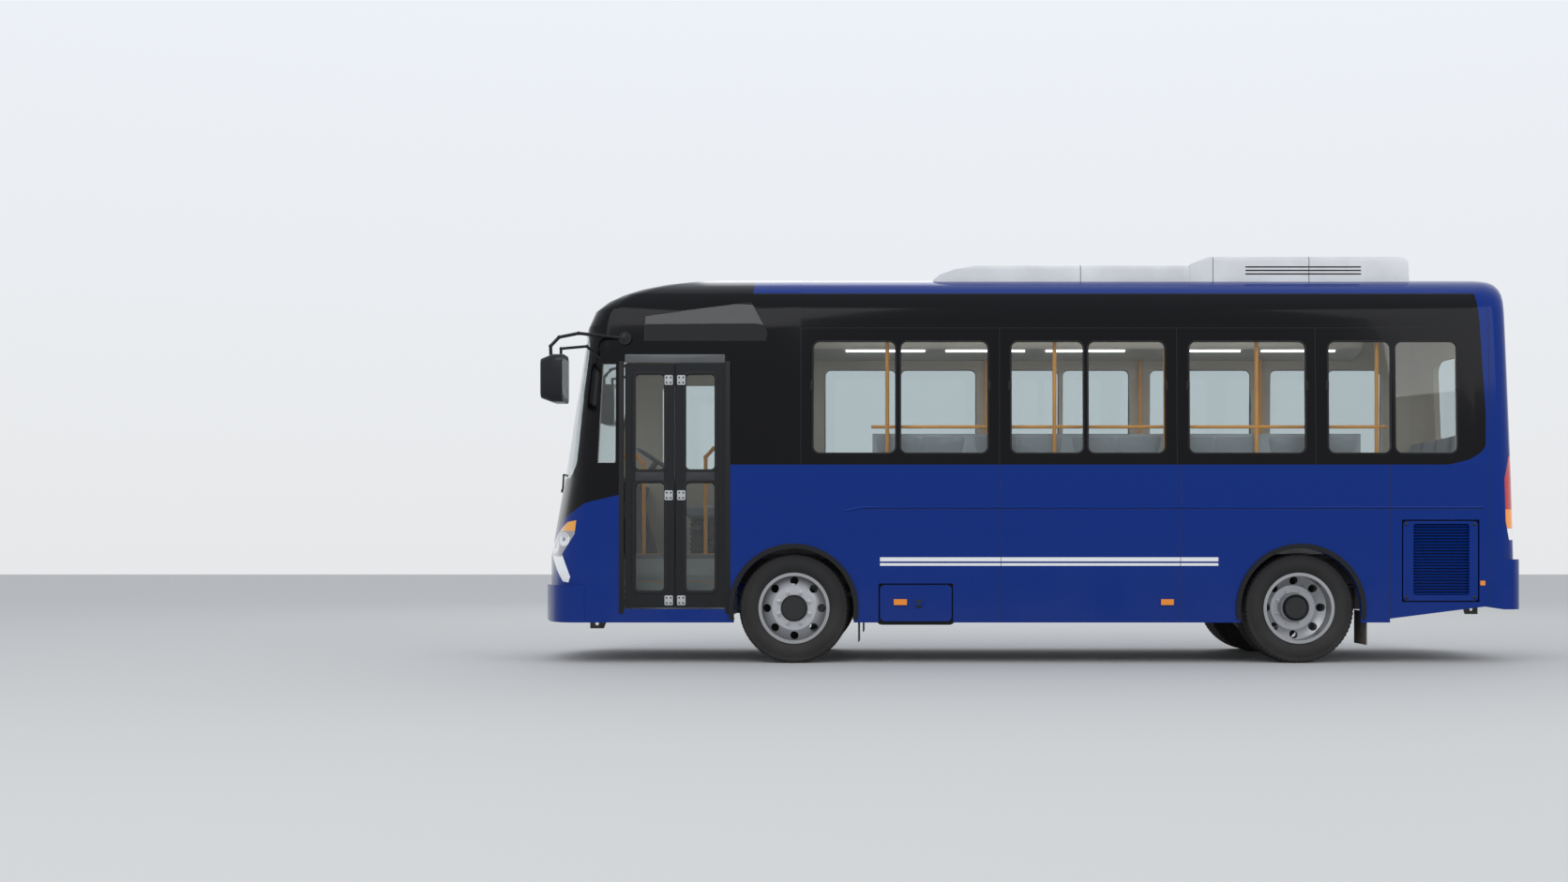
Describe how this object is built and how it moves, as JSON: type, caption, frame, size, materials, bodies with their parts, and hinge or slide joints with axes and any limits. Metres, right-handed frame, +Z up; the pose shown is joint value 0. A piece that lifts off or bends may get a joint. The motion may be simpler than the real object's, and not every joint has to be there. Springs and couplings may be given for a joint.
{
  "type": "airport passenger bus",
  "caption": "Airport passenger bus with a folding front door, steered front wheels, twin rear wheels, bench seats, roof cooling pod, side hatches and a rear engine lid.",
  "frame": {"origin": "on the ground under the middle of the bus", "axes": "+X forward, +Y to the door side, +Z up"},
  "size_m": [8.519, 2.88, 3.5],
  "materials": {
    "frame_paint": "black chassis paint",
    "floor_vinyl": "grey vinyl floor",
    "blue_paint": "royal blue gloss paint",
    "black_gloss": "black gloss paint",
    "glass": "lightly tinted safety glass",
    "clear_lamp": "clear lamp cover",
    "red_lamp": "red lamp cover",
    "amber_lamp": "amber lamp cover",
    "white_plastic": "white moulded cover",
    "dark_plastic": "dark grained plastic",
    "rubber": "black rubber",
    "seat_cloth": "grey seat cloth",
    "orange_paint": "orange-yellow powder coat",
    "light_cover": "opal light cover",
    "silver_paint": "silver wheel paint",
    "tyre": "black tyre rubber"
  },
  "bodies": {
    "bus_body": {"chassis_frame": "frame_paint", "cross_members": "frame_paint", "tow_eyes": "frame_paint", "floor_deck": "floor_vinyl", "floor_boxes": "floor_vinyl", "left_side": "blue_paint", "left_band": "black_gloss", "left_front": "black_gloss", "right_side": "blue_paint", "right_band": "black_gloss", "right_front": "black_gloss", "roof": "blue_paint", "front_dome": "black_gloss", "front_mask": "black_gloss", "front_bumper": "blue_paint", "rear_wall": "blue_paint", "rear_bumper": "blue_paint", "windscreen": "glass", "left_windows": "glass", "right_windows": "glass", "rear_window": "glass", "headlamps": "clear_lamp", "tail_lamps": "red_lamp", "marker_lamps": "amber_lamp", "air_conditioner": "white_plastic", "arch_flares": "dark_plastic", "mud_flaps": "rubber", "mirrors": "dark_plastic", "wipers": "dark_plastic", "front_axle": "frame_paint", "rear_axle": "frame_paint", "springs": "frame_paint", "engine": "frame_paint", "dashboard": "dark_plastic", "steering_wheel": "dark_plastic", "driver_seat": "seat_cloth", "left_bench": "seat_cloth", "right_bench": "seat_cloth", "rear_bench": "seat_cloth", "grab_rails": "orange_paint", "ceiling_lights": "light_cover"},
    "door_front": {"door_leaf_front": "black_gloss", "door_glass_front": "glass"},
    "door_rear": {"door_leaf_rear": "black_gloss", "door_glass_rear": "glass"},
    "hatch": {"side_hatch": "blue_paint", "hatch_marker": "amber_lamp"},
    "grille": {"grille_door": "blue_paint"},
    "lid": {"engine_lid": "blue_paint"},
    "steer_left_body": {"knuckle_left": "frame_paint"},
    "steer_right_body": {"knuckle_right": "frame_paint"},
    "wheel_front_left": {"front_left_rim": "silver_paint", "front_left_tyre": "tyre"},
    "wheel_front_right": {"front_right_rim": "silver_paint", "front_right_tyre": "tyre"},
    "wheel_rear_left": {"rear_left_rims": "silver_paint", "rear_left_tyres": "tyre"},
    "wheel_rear_right": {"rear_right_rims": "silver_paint", "rear_right_tyres": "tyre"}
  },
  "joints": [
    {"name": "door_fold", "type": "hinge", "parent": "bus_body", "child": "door_front", "pos_m": [3.378, 1.148, 1.5], "axis": [0, 0, 1], "range_deg": [0, 85]},
    {"name": "door_rear_fold", "type": "hinge", "parent": "door_front", "child": "door_rear", "pos_m": [2.981, 1.176, 1.5], "axis": [0, 0, -1], "range_deg": [0, 170]},
    {"name": "side_hatch_lift", "type": "hinge", "parent": "bus_body", "child": "hatch", "pos_m": [0.953, 1.2, 0.664], "axis": [1, 0, 0], "range_deg": [0, 85]},
    {"name": "grille_lift", "type": "hinge", "parent": "bus_body", "child": "grille", "pos_m": [-3.459, 1.2, 1.201], "axis": [1, 0, 0], "range_deg": [0, 80]},
    {"name": "engine_lid_lift", "type": "hinge", "parent": "bus_body", "child": "lid", "pos_m": [-4.207, 0, 1.836], "axis": [0, 1, 0], "range_deg": [0, 75]},
    {"name": "steer_left", "type": "hinge", "parent": "bus_body", "child": "steer_left_body", "pos_m": [1.981, 0.962, 0.464], "axis": [0, 0, 1], "range_deg": [-35, 35]},
    {"name": "steer_right", "type": "hinge", "parent": "bus_body", "child": "steer_right_body", "pos_m": [1.981, -0.962, 0.464], "axis": [0, 0, 1], "range_deg": [-35, 35]},
    {"name": "front_left_spin", "type": "hinge", "parent": "steer_left_body", "child": "wheel_front_left", "pos_m": [1.981, 1.0225, 0.464], "axis": [0, 1, 0], "continuous": true},
    {"name": "front_right_spin", "type": "hinge", "parent": "steer_right_body", "child": "wheel_front_right", "pos_m": [1.981, -1.0225, 0.464], "axis": [0, 1, 0], "continuous": true},
    {"name": "rear_left_spin", "type": "hinge", "parent": "bus_body", "child": "wheel_rear_left", "pos_m": [-2.284, 1.0225, 0.464], "axis": [0, 1, 0], "continuous": true},
    {"name": "rear_right_spin", "type": "hinge", "parent": "bus_body", "child": "wheel_rear_right", "pos_m": [-2.284, -1.0225, 0.464], "axis": [0, 1, 0], "continuous": true}
  ],
  "couplings": [
    {"joint": "door_rear_fold", "follows": "door_fold", "ratio": 2},
    {"joint": "steer_right", "follows": "steer_left", "ratio": 1}
  ]
}
